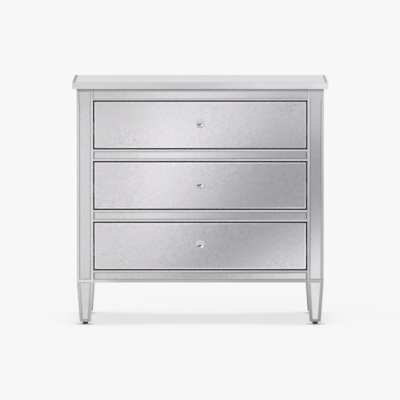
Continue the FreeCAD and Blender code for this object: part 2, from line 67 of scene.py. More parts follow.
nodes = frame["nodes"]

# %% [markdown]
# ## Places taken from the pieces
#
# The finishes and the studio need a few places: where the front plane is, how wide the body is,
# and where the legs begin. Each one is read from the box of the piece that has it, so a change of
# size in the chest carries through to here.

# %% Measure the chest
import bpy
import math
from mathutils import Vector

front_face, back_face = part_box("bottom_rail")[0].y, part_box("rear_leg_left")[1].y
body_left, body_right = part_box("side_panel_left")[0].x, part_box("side_panel_right")[1].x
leg_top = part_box("bottom_rail")[0].z
top_rail_foot, body_top = (corner.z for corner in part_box("top_rail"))
post_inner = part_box("front_leg_right")[0].x
print(f"front at y {front_face:.4f}, body {body_left:.3f} to {body_right:.3f}, legs below {leg_top:.3f}")

# %% [markdown]
# ## Writing a finish as arithmetic
#
# A finish in Blender is a tree of nodes. Wired by hand in the node editor, a long formula becomes
# a web that is hard to follow, and wired line by line in Python it is just as hard. Instead, one
# small class stands for the output of a node and gives it the signs of arithmetic, so that
# `1 - mask * 0.3` adds the Math nodes by itself. Every other node comes from one method, `add`,
# which sets the node's options first, because some options change which sockets there are.


# %% Sockets that do sums
class Wire:
    """One output of a node; a sum with it adds a Math node to the same tree."""

    def __init__(self, tree, socket):
        self.tree = tree
        self.socket = socket

    def __add__(self, other):
        return self.tree.sum("ADD", self, other)

    def __sub__(self, other):
        return self.tree.sum("SUBTRACT", self, other)

    def __rsub__(self, other):
        return self.tree.sum("SUBTRACT", other, self)

    def __mul__(self, other):
        return self.tree.sum("MULTIPLY", self, other)

    def __gt__(self, other):
        return self.tree.sum("GREATER_THAN", self, other)

    def __lt__(self, other):
        return self.tree.sum("LESS_THAN", self, other)

    def __abs__(self):
        return self.tree.sum("ABSOLUTE", self)

    __radd__ = __add__
    __rmul__ = __mul__


class Tree:
    """A node tree that is written as expressions."""

    def __init__(self, node_tree):
        node_tree.nodes.clear()
        self.node_tree = node_tree

    def add(self, kind, settings=None, sockets=None, output=0):
        """Add a node with its settings and its sockets' values or links, and give one of its outputs."""
        node = self.node_tree.nodes.new(kind)
        for name, value in (settings or {}).items():
            setattr(node, name, value)
        for name, value in (sockets or {}).items():
            if isinstance(value, Wire):
                self.node_tree.links.new(value.socket, node.inputs[name])
            else:
                node.inputs[name].default_value = value
        return Wire(self, node.outputs[output]) if node.outputs else None

    def sum(self, operation, *terms):
        """A Math node on one or two terms."""
        return self.add("ShaderNodeMath", {"operation": operation}, dict(enumerate(terms)))


print("shader arithmetic is ready")

# %% [markdown]
# ## A few words for surfaces
#
# Most finishes are made from the same few ideas: the place on the piece, a cloudy noise there, a
# soft step from 0 to 1, and a mix of two colours. The place is the piece's own coordinates, not
# the world's, so the pattern stays on a drawer when the drawer slides out. Colours go through Mix
# nodes, because a Math node would turn them grey.

# %% Noise, soft steps and mixes
ACROSS, LENGTHWISE, UPRIGHT = range(3)
MEAN_NOISE = 0.5
MIX_A, MIX_B, MIX_RESULT = 6, 7, 2


def place(tree):
    """The point on the piece, in metres."""
    return tree.add("ShaderNodeTexCoord", output="Object")


def axes(tree, point):
    """The three coordinates of a point."""
    return [tree.add("ShaderNodeSeparateXYZ", sockets={"Vector": point}, output=axis) for axis in "XYZ"]


def facing(tree):
    """The way the piece's surface faces, as three values."""
    return axes(tree, tree.add("ShaderNodeTexCoord", output="Normal"))


def largest(tree, one, other, third):
    """The largest of three values."""
    return tree.sum("MAXIMUM", tree.sum("MAXIMUM", one, other), third)


def stretched(tree, point, stretch):
    """A point with each of its coordinates multiplied."""
    return tree.add("ShaderNodeVectorMath", {"operation": "MULTIPLY"}, {0: point, 1: stretch})


def drawn_out(tree, point, axis, share):
    """A point with one coordinate cut to a share, which draws a pattern out that way."""
    return stretched(tree, point, [share if number == axis else 1.0 for number in range(3)])


def noise(tree, point, scale, detail=2.0, roughness=0.5):
    """A cloudy value about one half, with scale blotches in a metre."""
    sockets = {"Vector": point, "Scale": scale, "Detail": detail, "Roughness": roughness}
    return tree.add("ShaderNodeTexNoise", sockets=sockets)


def step(tree, value, low, high):
    """A soft step: 0 up to low, 1 from high."""
    return tree.add("ShaderNodeMapRange", {"interpolation_type": "SMOOTHSTEP"},
                    {"Value": value, "From Min": low, "From Max": high})


def spots(tree, point, limits, **kind):
    """The high places of a kind of noise, with a soft step between two limits."""
    return step(tree, noise(tree, point, **kind), *limits)


def mix(tree, factor, one, other):
    """Two colours mixed."""
    return tree.add("ShaderNodeMix", {"data_type": "RGBA"},
                    {0: factor, MIX_A: one, MIX_B: other}, MIX_RESULT)


def shade(tree, colour, amount):
    """A colour made lighter or darker by an amount that varies over the surface."""
    return tree.add("ShaderNodeVectorMath", {"operation": "SCALE"}, {0: colour, "Scale": amount})


def bump(tree, height, distance, strength):
    """A relief for the Normal socket; distance is the depth in metres of a height of 1."""
    sockets = {"Height": height, "Distance": distance, "Strength": strength}
    return tree.add("ShaderNodeBump", sockets=sockets)


def finish(name, surface):
    """A material from a function that gives the sockets of its surface."""
    material = bpy.data.materials.new(name)
    material.use_nodes = True
    tree = Tree(material.node_tree)
    shader = tree.add("ShaderNodeBsdfPrincipled", sockets=surface(tree))
    tree.add("ShaderNodeOutputMaterial", sockets={"Surface": shader})
    print("finish", name, "with", len(tree.node_tree.nodes), "nodes")
    return material


print("words for surfaces are ready")

# %% [markdown]
# ## Aged mirror
#
# Antique mirror is glass whose silvering has clouded with time: still bright, but mottled, a little
# mauve, and freckled with small dark spots. The bevels of the frame's plates get a painted shade, those
# of the drawers' plates a painted highlight, and across each end of the top runs a dull line of painted
# shade. The legs' plates get painted shade on the left and painted light on the right. It could be
# glass in front of a metal sheet, two surfaces for every ray to cross. A metal with a clear coat looks
# the same from outside and is far cheaper. Noises of several sizes make the age: wide clouds, a mottle
# the size of a fingertip, grains, and freckles.

# %% Aged mirror
MAUVE_SILVERING = (0.731, 0.699, 0.728, 1.0)
GREY_SILVERING = (0.710, 0.706, 0.712, 1.0)
CLEAN_TONE = 0.97
CLOUDS, CLOUD_TONE = {"scale": 3.5}, 0.10
MOTTLE, MOTTLE_TONE = {"scale": 60.0, "detail": 5.0, "roughness": 0.65}, 0.24
GRAINS, GRAIN_TONE = {"scale": 230.0, "detail": 1.0}, 0.28
FRECKLES, FRECKLE_LIMITS, FRECKLE_TONE = {"scale": 150.0, "detail": 1.0}, (0.72, 0.79), 0.40
MAUVE_PATCHES, PATCH_LIMITS = {"scale": 14.0, "detail": 3.0}, (0.30, 0.65)
WORN_AREAS, WORN_LIMITS, LEAST_WEAR, MORE_WEAR = {"scale": 6.0}, (0.35, 0.65), 0.65, 0.8
MIRROR_ROUGHNESS, MOTTLE_ROUGHNESS, FRECKLE_ROUGHNESS = 0.10, 0.10, 0.2
RIPPLE = {"distance": 0.0001, "strength": 0.10}
COAT, COAT_ROUGHNESS = 0.6, 0.03
BEVEL_LIMIT = 0.9972
# More painted shade on the bevels at the rails' ends; a line of painted shade across each end of the top.
END_TILT, RAIL_END_SHADE = 0.05, 1.6
END_LINE = 0.0080, 0.0105
# Painted shade on the plates of the left legs and painted light on those of the right legs.
LEG_LIGHT_AND_SHADE, LEG_BALANCE = 0.115, 0.45
# Painted shade on the frame's bevels; the drawers' negative share paints a highlight on theirs; painted
# shade on the top's end lines.
FRAME_BEVEL_SHADE, FRAME_MAUVE, FRAME_WEAR = 0.25, 0.55, 0.7
DRAWER_BEVEL_SHADE, DRAWER_MAUVE, DRAWER_WEAR = -0.30, 1.0, 1.0
TOP_END_SHADE, TOP_MAUVE, TOP_DULLING, TOP_DRAW = 0.42, 0.25, 0.55, 0.6


def bevel(tree):
    """1 on the bevels and edges of a plate, where the surface faces none of the three main ways."""
    x, y, z = facing(tree)
    return largest(tree, abs(x), abs(y), abs(z)) < BEVEL_LIMIT


def open_bevel(tree):
    """1 on the bevels of the frame's plates, which get a painted shade, more at the rails' ends, and 0 on
    the top rail.
    """
    x, _, z = axes(tree, place(tree))
    rail_end = (abs(x) < post_inner) * (abs(facing(tree)[ACROSS]) > END_TILT)
    return bevel(tree) * (z < top_rail_foot) * (1 + rail_end * RAIL_END_SHADE)


def end_line(tree):
    """1 on a line across either end of the top, which gets a painted shade."""
    inward = cad_box[1].x - abs(axes(tree, place(tree))[ACROSS])
    return (inward > END_LINE[0]) * (inward < END_LINE[1])


def aged_mirror(painted_shade, mauve, wear, shade_place=bevel, dulling=0.0, draw=1.0):
    """Aged mirror with a share of painted shade in one place (a painted highlight where the share is
    negative), and shares of mauve and of wear all over; the shaded place may dull the polish too.
    """
    def surface(tree):
        point = drawn_out(tree, place(tree), ACROSS, draw)
        mottle, grain = noise(tree, point, **MOTTLE), noise(tree, point, **GRAINS)
        freckle = spots(tree, point, FRECKLE_LIMITS, **FRECKLES)
        speckle = (mottle - MEAN_NOISE) * MOTTLE_TONE + (grain - MEAN_NOISE) * GRAIN_TONE
        speckle = speckle - freckle * FRECKLE_TONE
        wear_and_highlight = (LEAST_WEAR + spots(tree, point, WORN_LIMITS, **WORN_AREAS) * MORE_WEAR) * wear
        tone = CLEAN_TONE + noise(tree, point, **CLOUDS) * CLOUD_TONE + speckle * wear_and_highlight
        x, _, z = axes(tree, place(tree))
        # Painted shade on the left legs' plates, painted light on the right ones.
        leg_light_and_shade = (z < leg_top) * (step(tree, x, body_left, body_right) - LEG_BALANCE) * LEG_LIGHT_AND_SHADE
        # Painted shade where the given place is 1, and a painted highlight where the share is negative.
        shaded = shade_place(tree)
        tone = tone * (1 - shaded * painted_shade) * (1 + leg_light_and_shade)
        patch = spots(tree, point, PATCH_LIMITS, **MAUVE_PATCHES)
        rough = MIRROR_ROUGHNESS + mottle * MOTTLE_ROUGHNESS + freckle * FRECKLE_ROUGHNESS
        return {
            "Base Color": shade(tree, mix(tree, patch * mauve, GREY_SILVERING, MAUVE_SILVERING), tone),
            "Metallic": 1.0,
            "Roughness": rough + shaded * dulling,
            "Normal": bump(tree, mottle, **RIPPLE),
            "Coat Weight": (1 - shaded) * COAT if dulling else COAT,
            "Coat Roughness": COAT_ROUGHNESS,
        }
    return surface


frame_mirror = finish("aged_mirror_frame", aged_mirror(FRAME_BEVEL_SHADE, FRAME_MAUVE, FRAME_WEAR, open_bevel))
drawer_mirror = finish("aged_mirror_drawer", aged_mirror(DRAWER_BEVEL_SHADE, DRAWER_MAUVE, DRAWER_WEAR))
aged_top = aged_mirror(TOP_END_SHADE, TOP_MAUVE, DRAWER_WEAR, end_line, TOP_DULLING, TOP_DRAW)
top_mirror = finish("aged_mirror_top", aged_top)

# %% [markdown]
# ## Where the silver leaf gets painted shade and light
#
# The frame round the plates is wood laid with silver leaf. Its tone carries painted shade under the
# overhang of the top, at the head of the case, on the outer corners, low on the right post, along the
# bottom rail and low down on the legs. The top gets painted shade across the middle of its front edge
# and at its left end, and a painted highlight towards the right. A painted highlight also brightens the
# edges beside the drawers. That could be painted by hand on an unwrapped mesh. Masks from the place on
# the piece need no unwrapping, and their edges stay clean from close by. Places are in metres: across
# from the middle of the chest, or up from the floor.

# %% Where the leaf gets painted shade and light
SKIN = 0.0005
BODY_TONE, TOP_EDGE_TONE = 0.82, 0.85
# Painted shade across the middle of the top's front edge, and a painted highlight towards its right end.
MIDDLE_SHADE_FROM, MIDDLE_SHADE_TO = (-0.40, -0.08), (-0.05, 0.28)
MIDDLE_SHADE_LEAST, MIDDLE_SHADE_DEPTH = 0.38, 0.17
RIGHT_HIGHLIGHT_FROM, RIGHT_HIGHLIGHT = (0.34, 0.45), 0.07
# Painted shade at the left end of the top.
LEFT_END_REACH, LEFT_END_SHADE = 0.0078, 0.32
# Painted shade under the overhang of the top.
CROWN_REACH, CROWN_FULL_SHARE, CROWN_SHADE_DEPTH = 0.0112, 0.2, 0.58
# Painted shade on the outer corners of the case.
CORNER_WIDTH, CORNER_FULL_SHARE, CORNER_SHADE_DEPTH = 0.009, 0.7, 0.12
# Painted shade across the head of the case, below the top.
HEAD_REACH, HEAD_FULL, HEAD_SHADE_DEPTH = 0.055, 0.035, 0.14
# Painted shade low on the right post.
RIGHT_POST_UP_TO, RIGHT_POST_SHADE_DEPTH = (0.42, 0.70), 0.22
# A painted highlight on the posts' edges beside the drawers.
ARRIS_WIDTH, ARRIS_HIGHLIGHT = 0.0018, 0.18
# Painted shade along the bottom rail, more towards the right, and on its lower strip except at the far
# left.
SKIRT_REACH, SKIRT_FROM, SKIRT_SHADE_LEAST, SKIRT_SHADE_MORE = 0.05, (-0.1, 0.3), 0.10, 0.12
SKIRT_EDGE, SKIRT_EDGE_FROM, SKIRT_EDGE_SHADE = 0.0125, (-0.36, -0.28), 0.25
# Painted shade on the legs, more on the right and towards the feet.
LEG_SHADE_DEPTH, RIGHT_LEG_SHADE_DEPTH, FOOT_SHADE_DEPTH = 0.12, 0.04, 0.32


def top_tone(tree, x, z):
    """The leaf of the top, with painted shade across its middle and at its left end, and a painted
    highlight towards the right.
    """
    middle_shade = MIDDLE_SHADE_LEAST + step(tree, x, *MIDDLE_SHADE_FROM) * (1 - MIDDLE_SHADE_LEAST)
    middle_shade = (1 - step(tree, x, *MIDDLE_SHADE_TO)) * middle_shade
    wear_and_highlight = step(tree, x, *RIGHT_HIGHLIGHT_FROM) * RIGHT_HIGHLIGHT
    edge = (z > body_top) * (BODY_TONE - TOP_EDGE_TONE + middle_shade * MIDDLE_SHADE_DEPTH - wear_and_highlight)
    left_end_shade = (z > cad_box[1].z - SKIN) * (x < cad_box[0].x + LEFT_END_REACH) * LEFT_END_SHADE
    return (BODY_TONE - edge) * (1 - left_end_shade)


def case_tone(tree, x, z):
    """The leaf of the case, with painted shade under the top, at its head, on its outer corners and low on
    the right post, and a painted highlight by the drawers.
    """
    under_top = z < body_top
    crown_shade = step(tree, z, body_top - CROWN_REACH, body_top - CROWN_FULL_SHARE * CROWN_REACH) * under_top
    corner = step(tree, abs(x), body_right - CORNER_WIDTH, body_right - CORNER_FULL_SHARE * CORNER_WIDTH)
    head = step(tree, z, body_top - HEAD_REACH, body_top - HEAD_FULL) * under_top * (x < post_inner)
    right_post_shade = (x > post_inner) * (1 - step(tree, z, *RIGHT_POST_UP_TO))
    arris_highlight = (abs(x) > post_inner) * (abs(x) < post_inner + ARRIS_WIDTH) * (z > leg_top) * under_top
    tone = (1 - crown_shade * CROWN_SHADE_DEPTH) * (1 - corner * under_top * CORNER_SHADE_DEPTH) * (1 - head * HEAD_SHADE_DEPTH)
    return tone * (1 - right_post_shade * RIGHT_POST_SHADE_DEPTH) * (1 + arris_highlight * ARRIS_HIGHLIGHT)


def low_tone(tree, x, z):
    """The leaf low down, with painted shade: the bottom rail darker towards the right, and the legs darker
    towards the feet and on the right.
    """
    right = x > 0.0
    between_posts = abs(x) < post_inner
    skirt_shade = between_posts * (z < leg_top + SKIRT_REACH)
    skirt_shade = skirt_shade * (SKIRT_SHADE_LEAST + step(tree, x, *SKIRT_FROM) * SKIRT_SHADE_MORE)
    skirt_edge_shade = between_posts * (z < leg_top + SKIRT_EDGE) * step(tree, x, *SKIRT_EDGE_FROM)
    leg_shade = (z < leg_top + right * SKIRT_EDGE) * (abs(x) > post_inner)
    low_down = tree.sum("MAXIMUM", 1 - z * (1 / leg_top), 0.0)
    leg_shade = leg_shade * (LEG_SHADE_DEPTH + right * RIGHT_LEG_SHADE_DEPTH + low_down * FOOT_SHADE_DEPTH)
    return (1 - leg_shade) * (1 - skirt_shade) * (1 - skirt_edge_shade * SKIRT_EDGE_SHADE)


print("leaf of the body at", BODY_TONE, "and of the top's edge at", TOP_EDGE_TONE)

# %% [markdown]
# ## Silver leaf
#
# The leaf is rubbed thin here and there, so the ground shows through, and it has faint streaks from
# the brush. It goes only where it shows: the inside of the case and the edges of the drawer fronts take
# a near-black stain, which also paints the shade in the gaps between drawers and frame. Only the
# recess for the top rail's plate is leafed too. That could be two materials with the faces sorted by
# hand. A mask does it in one, because what lies inside the outer skin of the case takes the stain.

# %% Silver leaf
LEAF = (0.955, 0.953, 0.965, 1.0)
RUBBED = (0.62, 0.60, 0.585, 1.0)
# A near-black stain inside the case, which also paints the shade in the gaps between drawers and frame.
STAIN_AND_SHADE = (0.007, 0.0065, 0.006, 1.0)
LEAF_METAL = 0.6
OPENING_SKIN, EASED_EDGE, RECESS = 0.00035, 0.001, 0.0046
LEAF_TONE = 0.88
LEAF_CLOUDS, LEAF_CLOUD_TONE = {"scale": 7.0, "detail": 3.0}, 0.08
RUBS, RUB_LIMITS = {"scale": 38.0, "detail": 5.0, "roughness": 0.65}, (0.58, 0.74)
RUB_SHARE, RUB_RELIEF = 0.2, {"distance": 0.0002, "strength": 0.25}
BRUSHED, BRUSHED_DRAW, BRUSHED_TONE = {"scale": 90.0, "detail": 3.0}, 0.12, 0.16
LEAF_ROUGHNESS, LEAF_CLOUD_ROUGHNESS, RUB_ROUGHNESS, STAIN_ROUGHNESS = 0.32, 0.12, 0.1, 0.35


def inside_case(tree, point):
    """1 inside the case's outer skin, apart from the recess for the top rail's plate."""
    x, y, z = axes(tree, point)
    behind = y - front_face - SKIN + (abs(x) < post_inner + EASED_EDGE) * (SKIN - OPENING_SKIN)
    across = abs(x) < body_right - SKIN
    along = (behind > 0.0) * (y < back_face - SKIN)
    recess = (abs(x) < post_inner) * (z > top_rail_foot + SKIN) * (y < front_face + RECESS)
    return across * along * (z > leg_top + SKIN) * (z < body_top + SKIN) * (1 - recess)


def silver_leaf(tree):
    point = place(tree)
    x, _, z = axes(tree, point)
    cloud = noise(tree, point, **LEAF_CLOUDS)
    rub = spots(tree, point, RUB_LIMITS, **RUBS)
    brushed = noise(tree, drawn_out(tree, point, ACROSS, BRUSHED_DRAW), **BRUSHED)
    tone = LEAF_TONE + cloud * LEAF_CLOUD_TONE + brushed * BRUSHED_TONE
    tone = tone * top_tone(tree, x, z) * case_tone(tree, x, z) * low_tone(tree, x, z)
    leafed = shade(tree, mix(tree, rub * RUB_SHARE, LEAF, RUBBED), tone)
    bare = inside_case(tree, point)
    rough = LEAF_ROUGHNESS + cloud * LEAF_CLOUD_ROUGHNESS + rub * RUB_ROUGHNESS
    return {
        "Base Color": mix(tree, bare, leafed, STAIN_AND_SHADE),
        "Metallic": (1 - bare) * LEAF_METAL,
        "Roughness": rough + bare * STAIN_ROUGHNESS,
        "Normal": bump(tree, rub, **RUB_RELIEF),
    }


leaf = finish("silver_leaf", silver_leaf)

# %% [markdown]
# ## Wood inside the drawers
#
# The drawer boxes are pale lacquered wood. Wood is long along the grain and short across it, so one
# noise is drawn out along the board to make growth rings, a finer one to make the fibres, and the
# high spots of another are the pores. The grain runs the long way of each board: front to back in
# the sides, left to right in the ends and bottoms. Where the surface faces along the grain, at the
# ends of the dovetails, the end grain drinks the lacquer and comes out darker. A picture of wood
# would be quicker, but it would not know which way each board runs.

# %% Woods
GROWTH, GROWTH_DRAW, RING_SHARE = {"scale": 9.0}, 0.055, 0.45
FIBRES, FIBRE_DRAW = {"scale": 900.0, "detail": 4.0, "roughness": 0.65}, 0.018
PORES, PORE_LIMITS = {"scale": 1100.0, "detail": 1.0}, (0.66, 0.74)
END_FACING = 0.9
WOOD_TONE, FIBRE_TONE, PORE_TONE, END_TONE = 1.10, 0.16, 0.22, 0.3
FIBRE_ROUGHNESS, END_ROUGHNESS = 0.15, 0.2
WOOD_RELIEF = {"distance": 0.0001, "strength": 0.2}
BOX_PALE, BOX_DARK = (0.70, 0.55, 0.38, 1.0), (0.52, 0.37, 0.22, 1.0)
PLY_PALE, PLY_DARK = (0.74, 0.61, 0.44, 1.0), (0.60, 0.46, 0.30, 1.0)
PINE_PALE, PINE_DARK = (0.68, 0.53, 0.35, 1.0), (0.50, 0.34, 0.19, 1.0)
STAIN_AND_SHADE_PALE, STAIN_AND_SHADE_DARK = (0.020, 0.016, 0.013, 1.0), (0.010, 0.008, 0.007, 1.0)


def wood(pale, dark, axis, rings=26.0, gloss=0.34):
    """A surface of wood with its grain along one axis."""
    def surface(tree):
        along = drawn_out(tree, place(tree), axis, GROWTH_DRAW)
        ring = tree.sum("SINE", noise(tree, along, **GROWTH) * (rings * math.pi)) * 0.5 + 0.5
        fibre = noise(tree, drawn_out(tree, place(tree), axis, FIBRE_DRAW), **FIBRES)
        pore = spots(tree, along, PORE_LIMITS, **PORES)
        end_grain = abs(facing(tree)[axis]) > END_FACING
        colour = mix(tree, ring * RING_SHARE + fibre * (1 - RING_SHARE), pale, dark)
        tone = WOOD_TONE - fibre * FIBRE_TONE - pore * PORE_TONE - end_grain * END_TONE
        return {
            "Base Color": shade(tree, colour, tone),
            "Roughness": gloss + fibre * FIBRE_ROUGHNESS + end_grain * END_ROUGHNESS,
            "Normal": bump(tree, fibre - pore, **WOOD_RELIEF),
        }
    return surface


box_end_wood = finish("drawer_wood_across", wood(BOX_PALE, BOX_DARK, ACROSS))
box_side_wood = finish("drawer_wood_lengthwise", wood(BOX_PALE, BOX_DARK, LENGTHWISE))
bottom_ply = finish("drawer_ply", wood(PLY_PALE, PLY_DARK, ACROSS, rings=14.0, gloss=0.4))
# The back rails take a near-black stain, which also paints the shade seen through the gaps between the
# drawers.
stain_and_shade_wood = wood(STAIN_AND_SHADE_PALE, STAIN_AND_SHADE_DARK, ACROSS, rings=18.0, gloss=0.55)
stain_and_shade_pine = finish("frame_wood_stained_and_shaded", stain_and_shade_wood)
packer_pine = finish("frame_wood_lengthwise", wood(PINE_PALE, PINE_DARK, LENGTHWISE, rings=18.0, gloss=0.5))

# %% [markdown]
# ## Painted back, steel and plastic
#
# The back is hardboard with a coat of grey paint, rolled on from top to bottom, so it has the fine
# orange-peel of a roller, upright laps where two strokes overlap, and pale scuffs from the wall. The
# slides are rolled steel with a zinc plate: the rolling leaves streaks along their length. Screws are
# the same zinc, a little warmer. The glides are moulded black plastic. None of these is seen much, but
# a flat colour would give each of them away at once from behind or in an open drawer.

# %% Paint, zinc and black plastic
PAINT, PAINT_TONE, PAINT_ROUGHNESS = (0.40, 0.40, 0.41), 0.78, 0.48
PEEL, PEEL_TONE, PEEL_ROUGHNESS = {"scale": 420.0}, 0.05, 0.12
PEEL_RELIEF = {"distance": 0.0003, "strength": 0.3}
FADING, FADING_TONE = {"scale": 5.0, "detail": 3.0}, 0.22
LAPS, LAP_DRAW, LAP_TONE, LAP_ROUGHNESS = {"scale": 11.0, "detail": 3.0}, 0.06, 0.18, 0.10
SCUFFS, SCUFF_DRAW = {"scale": 30.0, "detail": 5.0, "roughness": 0.7}, 0.3
SCUFF_LIMITS, SCUFF_TONE = (0.62, 0.72), 0.12
SLIDE_ZINC, SCREW_ZINC = (0.66, 0.67, 0.69), (0.70, 0.67, 0.60)
ZINC_TONE, ZINC_ROUGHNESS = 0.86, 0.26
STREAKS, STREAK_DRAW = {"scale": 700.0, "detail": 3.0}, 0.02
STREAK_TONE, STREAK_ROUGHNESS = 0.16, 0.14
BLOOM, BLOOM_TONE, BLOOM_ROUGHNESS = {"scale": 45.0, "detail": 3.0}, 0.12, 0.1
BLACK, BLACK_TONE, BLACK_ROUGHNESS = (0.014, 0.014, 0.015), 0.7, 0.30
GRIT, GRIT_TONE, GRIT_ROUGHNESS = {"scale": 900.0}, 0.6, 0.2
GRIT_RELIEF = {"distance": 0.0001, "strength": 0.3}


def grey_paint(tree):
    point = place(tree)
    peel = noise(tree, point, **PEEL)
    lap = noise(tree, drawn_out(tree, point, UPRIGHT, LAP_DRAW), **LAPS)
    scuff = spots(tree, drawn_out(tree, point, ACROSS, SCUFF_DRAW), SCUFF_LIMITS, **SCUFFS)
    tone = PAINT_TONE + noise(tree, point, **FADING) * FADING_TONE + lap * LAP_TONE
    return {
        "Base Color": shade(tree, PAINT, tone + peel * PEEL_TONE + scuff * SCUFF_TONE),
        "Roughness": PAINT_ROUGHNESS + peel * PEEL_ROUGHNESS + lap * LAP_ROUGHNESS,
        "Normal": bump(tree, peel, **PEEL_RELIEF),
    }


def rolled_zinc(zinc, axis):
    """Zinc plate, streaked along one axis by the rolls."""
    def surface(tree):
        point = place(tree)
        streak = noise(tree, drawn_out(tree, point, axis, STREAK_DRAW), **STREAKS)
        bloom = noise(tree, point, **BLOOM)
        return {
            "Base Color": shade(tree, zinc, ZINC_TONE + streak * STREAK_TONE + bloom * BLOOM_TONE),
            "Metallic": 1.0,
            "Roughness": ZINC_ROUGHNESS + streak * STREAK_ROUGHNESS + bloom * BLOOM_ROUGHNESS,
        }
    return surface


def black_plastic(tree):
    grit = noise(tree, place(tree), **GRIT)
    return {
        "Base Color": shade(tree, BLACK, BLACK_TONE + grit * GRIT_TONE),
        "Roughness": BLACK_ROUGHNESS + grit * GRIT_ROUGHNESS,
        "Normal": bump(tree, grit, **GRIT_RELIEF),
    }


back_paint = finish("back_board", grey_paint)
slide_zinc = finish("slide_steel", rolled_zinc(SLIDE_ZINC, LENGTHWISE))
screw_zinc = finish("screw_steel", rolled_zinc(SCREW_ZINC, UPRIGHT))
glide_plastic = finish("glide_black", black_plastic)

# %% [markdown]
# ## Knobs: glass and nickel
#
# Each knob is a clear ball on a small turned base. The ball is solid glass, so it bends the light
# through it and shows the room upside down, with the dark foot of its base as a crescent. Glass
# needs no colour of its own, only a slightly uneven polish. The base is nickel, polished on a lathe.

# %% Glass and nickel
GLASS, GLASS_IOR = (0.99, 0.988, 0.992, 1.0), 1.5
POLISHING, POLISHING_ROUGHNESS = {"scale": 160.0}, 0.02
NICKEL, NICKEL_TONE, NICKEL_ROUGHNESS = (0.665, 0.66, 0.675), 0.90, 0.04
TURNING, TURNING_STRETCH = {"scale": 300.0}, (0.3, 6.0, 0.3)
TURNING_TONE, TURNING_ROUGHNESS = 0.2, 0.05


def clear_glass(tree):
    return {
        "Base Color": GLASS,
        "Roughness": noise(tree, place(tree), **POLISHING) * POLISHING_ROUGHNESS,
        "IOR": GLASS_IOR,
        "Transmission Weight": 1.0,
    }


def polished_nickel(tree):
    turning = noise(tree, stretched(tree, place(tree), TURNING_STRETCH), **TURNING)
    return {
        "Base Color": shade(tree, NICKEL, NICKEL_TONE + turning * TURNING_TONE),
        "Metallic": 1.0,
        "Roughness": NICKEL_ROUGHNESS + turning * TURNING_ROUGHNESS,
    }


knob_glass = finish("knob_glass", clear_glass)
knob_nickel = finish("knob_metal", polished_nickel)

# %% [markdown]
# ## Handing out the finishes
#
# The record names a material slot for every piece. Most slots have one finish, so a table from slot
# to finish covers them. The woods need more, because the grain follows the board and the back rails'
# stain also paints shade, and the mirrors of the drawers and of the top have aged in their own ways
# and carry their own painted shade and highlights, so a piece whose name ends in a listed word takes
# its own finish.

# %% Hand out the finishes
SLOT_FINISH = {
    "silvered_wood": leaf, "aged_mirror": frame_mirror, "back_board": back_paint,
    "frame_wood": packer_pine, "drawer_wood": box_side_wood, "drawer_ply": bottom_ply,
    "slide_steel": slide_zinc, "screw_steel": screw_zinc, "knob_glass": knob_glass,
    "knob_metal": knob_nickel, "glide_black": glide_plastic,
}
OWN_FINISH = {"box_front": box_end_wood, "box_back": box_end_wood, "back_rails": stain_and_shade_pine,
              "drawer_mirror": drawer_mirror, "top_mirror": top_mirror}

for part in frame["record"]["subparts"]:
    material = SLOT_FINISH[part["material_slot"]]
    for ending, other in OWN_FINISH.items():
        if part["node"].endswith(ending):
            material = other
    nodes[part["node"]].data.materials.clear()
    nodes[part["node"]].data.materials.append(material)

# %% [markdown]
# ## A lathe
#
# Knobs, glides and screws are turned pieces: an outline swept round an axis. Blender's Screw modifier
# can do that, but it leaves the ends on the axis open or doubled. A few lines of bmesh make one ring of
# points for each point of the outline, and a single point where the outline meets the axis, so the
# mesh is closed. Faces are smooth, and edges sharper than a limit stay crisp.

# %% A lathe
import bmesh

TURN_STEPS = 64
ARC_STEPS = 24
ON_AXIS = 1e-7
CRISP_EDGE = math.radians(40)


def arc(centre, radius, start, end, steps=ARC_STEPS):
    """Points of an arc in an outline, each as (distance from the axis, height); angles in degrees."""
    angles = [math.radians(start + (end - start) * number / steps) for number in range(steps + 1)]
    return [(centre[0] + radius * math.cos(angle), centre[1] + radius * math.sin(angle))
            for angle in angles]


def band(build, one, other):
    """A band of faces between two closed rows of points."""
    for number in range(len(one)):
        corners = [one[number - 1], one[number], other[number], other[number - 1]]
        build.faces.new(list(dict.fromkeys(corners)))


def turn(build, outline, foot, along, steps=TURN_STEPS):
    """Turn an outline about an axis that starts at a foot, and give the first ring of points."""
    side = along.orthogonal().normalized()
    other = along.cross(side)
    angles = [2 * math.pi * number / steps for number in range(steps)]
    spokes = [side * math.cos(angle) + other * math.sin(angle) for angle in angles]
    rings = []
    for radius, height in outline:
        centre = foot + along * height
        if radius < ON_AXIS:
            rings.append([build.verts.new(centre)] * steps)
        else:
            rings.append([build.verts.new(centre + spoke * radius) for spoke in spokes])
    for low, high in zip(rings, rings[1:]):
        band(build, low, high)
    return rings[0]


def made(name, build):
    """The piece that a finished mesh becomes, smooth apart from its crisp edges."""
    bmesh.ops.recalc_face_normals(build, faces=build.faces)
    for face in build.faces:
        face.smooth = True
    mesh = bpy.data.meshes.new(name)
    build.to_mesh(mesh)
    build.free()
    mesh.set_sharp_from_angle(angle=CRISP_EDGE)
    piece = bpy.data.objects.new(name, mesh)
    bpy.context.collection.objects.link(piece)
    return piece


def turned(name, outline, feet, along):
    """A piece with its outline turned about an axis, once for each foot that it stands on."""
    build = bmesh.new()
    for foot in feet:
        turn(build, outline, foot, along)
    return made(name, build)


def stand_for(piece, node, body):
    """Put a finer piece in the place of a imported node, with that node's finish."""
    parts = frame["record"]["subparts"]
    material_slot = next(part["material_slot"] for part in parts if part["node"] == node)
    piece.data.materials.append(SLOT_FINISH[material_slot])
    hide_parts(node)
    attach(piece, body)
    print(piece.name, "stands for", node, "with", len(piece.data.polygons), "faces")


print("a lathe with", TURN_STEPS, "points to a turn")

